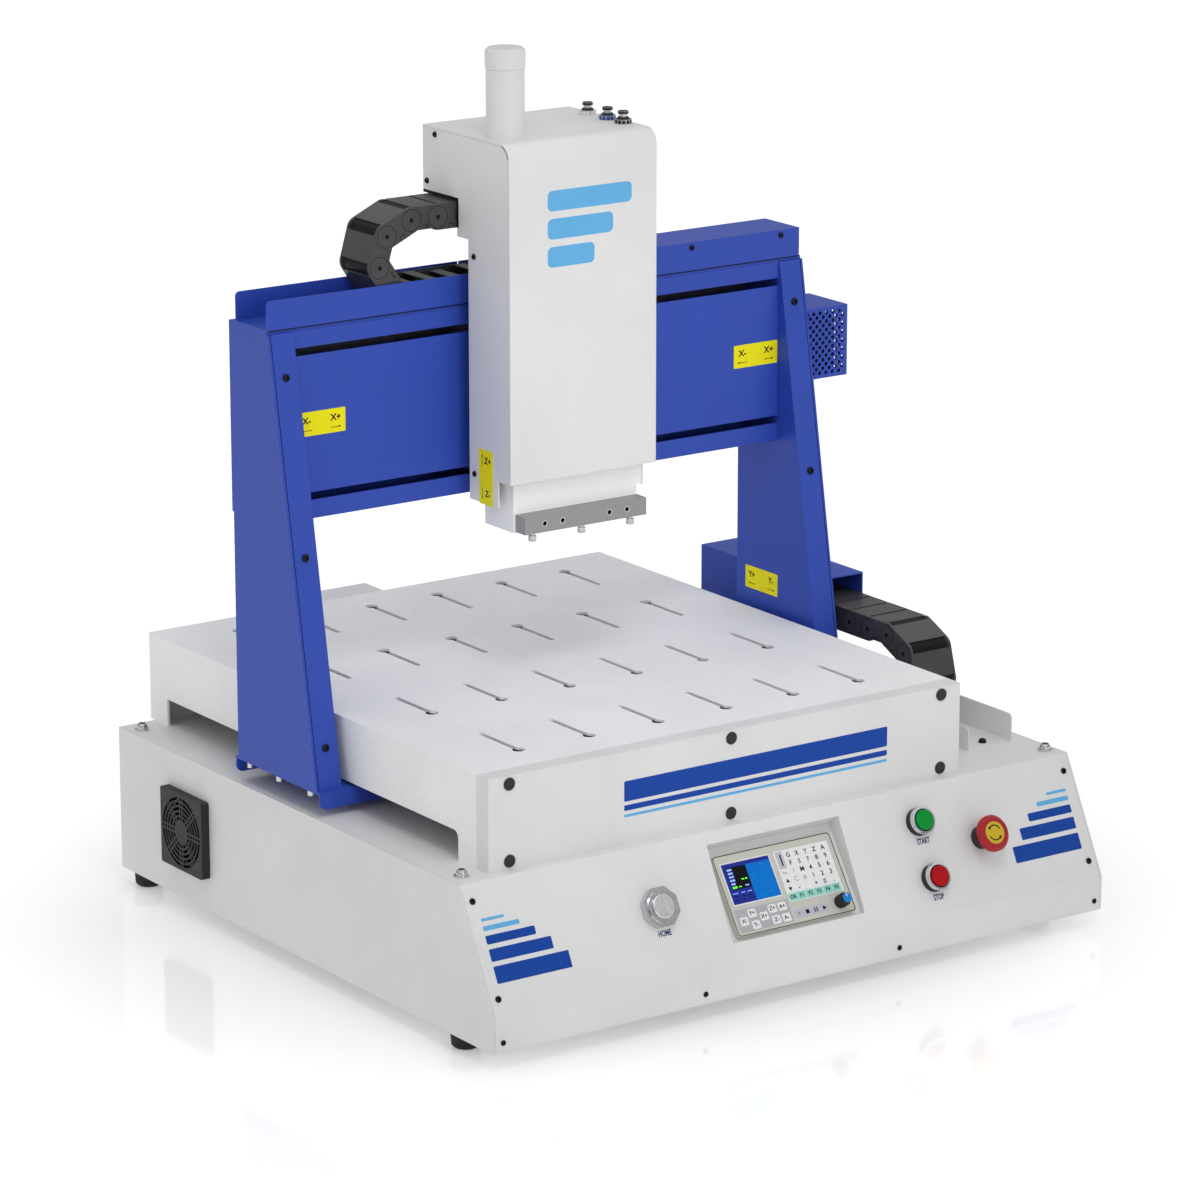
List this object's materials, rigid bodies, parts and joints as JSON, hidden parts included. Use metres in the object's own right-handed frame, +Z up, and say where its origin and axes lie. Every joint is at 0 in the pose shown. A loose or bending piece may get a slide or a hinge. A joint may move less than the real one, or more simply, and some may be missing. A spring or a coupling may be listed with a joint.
{
  "type": "desktop dispensing robot",
  "caption": "Benchtop gantry robot: a travelling arch carries a dispensing head on a vertical slide over a slotted work table, on a cabinet with a sloping operator panel.",
  "frame": {"origin": "middle of the machine's footprint box, on the surface that its feet stand on", "axes": "+Z up, +X to the operator's right, -Y towards the operator"},
  "size_m": [0.81, 0.7921, 0.9688],
  "materials": {
    "white_paint": "fine-texture powder coat",
    "blue_paint": "fine-texture powder coat",
    "black_plastic": "moulded, slightly rough",
    "chain_plastic": "moulded glass-filled nylon",
    "foot_rubber": "matte",
    "steel": "ground",
    "chrome": "polished",
    "bar_aluminium": "bead blasted",
    "carriage_aluminium": "milled",
    "slide_white": "white powder coat",
    "motor_black": "satin",
    "green_cap": "semi-gloss",
    "red_cap": "semi-gloss",
    "estop_red": "semi-gloss",
    "controller_grey": "moulded, satin",
    "screen": "clear cover over a display",
    "white_plastic": "satin",
    "brass_fitting": "nickel plated"
  },
  "bodies": {
    "base": {"cabinet_tray": "white_paint", "top_cover": "white_paint", "rubber_feet": "foot_rubber", "table_top": "white_paint", "table_front_cover": "white_paint", "table_rear_plate": "white_paint", "table_plugs": "black_plastic", "fan_guard": "black_plastic", "fan_frame": "black_plastic", "controller_housing": "controller_grey", "controller_screen": "screen", "home_bezel": "chrome", "button_bezels": "black_plastic", "estop_collar": "black_plastic", "switch_blocks": "black_plastic", "y_rails": "steel", "y_screw_bearings": "motor_black", "y_motor": "motor_black", "y_motor_cover": "white_paint", "y_chain_tray": "white_paint", "power_inlet": "black_plastic", "power_supply": "carriage_aluminium", "motor_drivers": "black_plastic"},
    "fan_rotor": {"fan_rotor": "black_plastic"},
    "controller_knob": {"controller_knob": "black_plastic"},
    "home_button": {"home_button": "chrome"},
    "start_button": {"start_button": "green_cap"},
    "stop_button": {"stop_button": "red_cap"},
    "estop_stem": {"estop_stem": "black_plastic"},
    "estop_head": {"estop_head": "estop_red"},
    "y_screw": {"y_screw": "steel"},
    "y_cable_chain": {"y_cable_chain": "chain_plastic"},
    "gantry": {"gantry_foot": "blue_paint", "y_guide_blocks": "steel", "left_column": "blue_paint", "right_column": "blue_paint", "column_covers": "blue_paint", "crossbeam": "blue_paint", "beam_front_panel": "blue_paint", "x_rails": "steel", "x_screw_bearings": "motor_black", "x_motor": "motor_black", "x_motor_cover": "blue_paint", "x_chain_tray": "blue_paint", "x_tray_cover": "blue_paint", "y_chain_box": "blue_paint"},
    "x_screw": {"x_screw": "steel"},
    "x_cable_chain": {"x_cable_chain": "chain_plastic"},
    "head": {"x_carriage": "carriage_aluminium", "x_guide_blocks": "steel", "head_front_cover": "white_paint", "head_side_panels": "white_paint", "head_rear_cover": "white_paint", "supply_tube": "white_plastic", "air_fittings": "brass_fitting", "z_motor": "motor_black", "z_rails": "steel"},
    "z_screw": {"z_screw": "steel"},
    "z_slide": {"z_slide": "slide_white", "tool_bar": "bar_aluminium"}
  },
  "joints": [
    {"name": "home_press", "type": "slide", "parent": "base", "child": "home_button", "axis": [0, 0.893, -0.4501], "range_m": [0, 0.0035], "stiffness_N_per_m": 500, "springref_m": -0.001},
    {"name": "start_press", "type": "slide", "parent": "base", "child": "start_button", "axis": [0, 0.893, -0.4501], "range_m": [0, 0.0035], "stiffness_N_per_m": 500, "springref_m": -0.001},
    {"name": "stop_press", "type": "slide", "parent": "base", "child": "stop_button", "axis": [0, 0.893, -0.4501], "range_m": [0, 0.0035], "stiffness_N_per_m": 500, "springref_m": -0.001},
    {"name": "estop_press", "type": "slide", "parent": "base", "child": "estop_stem", "axis": [0, 0.893, -0.4501], "range_m": [0, 0.004]},
    {"name": "estop_twist", "type": "hinge", "parent": "estop_stem", "child": "estop_head", "pos_m": [0.259, -0.38024, 0.1286], "axis": [0, -0.893, 0.4501], "range_deg": [-40, 0], "stiffness_Nm_per_rad": 0.05, "springref_deg": 2.86},
    {"name": "knob_turn", "type": "hinge", "parent": "base", "child": "controller_knob", "pos_m": [0.058, -0.38578, 0.0958], "axis": [0, -0.825, 0.5651], "continuous": true},
    {"name": "fan_spin", "type": "hinge", "parent": "base", "child": "fan_rotor", "pos_m": [-0.383, 0.19933, 0.1005], "axis": [1, 0, 0], "continuous": true},
    {"name": "y_slide", "type": "slide", "parent": "base", "child": "gantry", "axis": [0, 1, 0], "range_m": [-0.19, 0.205]},
    {"name": "y_screw_turn", "type": "hinge", "parent": "base", "child": "y_screw", "pos_m": [-0.089, 0.01883, 0.1955], "axis": [0, 1, 0], "continuous": true},
    {"name": "y_chain_roll", "type": "slide", "parent": "base", "child": "y_cable_chain", "axis": [0, 1, 0], "range_m": [-0.096, 0.104]},
    {"name": "x_slide", "type": "slide", "parent": "gantry", "child": "head", "axis": [1, 0, 0], "range_m": [-0.19, 0.2]},
    {"name": "x_screw_turn", "type": "hinge", "parent": "gantry", "child": "x_screw", "pos_m": [-0.0584, 0.06533, 0.58375], "axis": [1, 0, 0], "continuous": true},
    {"name": "x_chain_roll", "type": "slide", "parent": "gantry", "child": "x_cable_chain", "axis": [1, 0, 0], "range_m": [-0.096, 0.101]},
    {"name": "z_slide", "type": "slide", "parent": "head", "child": "z_slide", "axis": [0, 0, 1], "range_m": [-0.08, 0.02]},
    {"name": "z_screw_turn", "type": "hinge", "parent": "head", "child": "z_screw", "pos_m": [-0.0584, -0.02567, 0.61], "axis": [0, 0, 1], "continuous": true}
  ],
  "couplings": [
    {"joint": "y_screw_turn", "follows": "y_slide", "rad_per_m": 314.16},
    {"joint": "y_chain_roll", "follows": "y_slide", "ratio": 0.5},
    {"joint": "x_screw_turn", "follows": "x_slide", "rad_per_m": 314.16},
    {"joint": "x_chain_roll", "follows": "x_slide", "ratio": 0.5},
    {"joint": "z_screw_turn", "follows": "z_slide", "rad_per_m": 628.32}
  ]
}
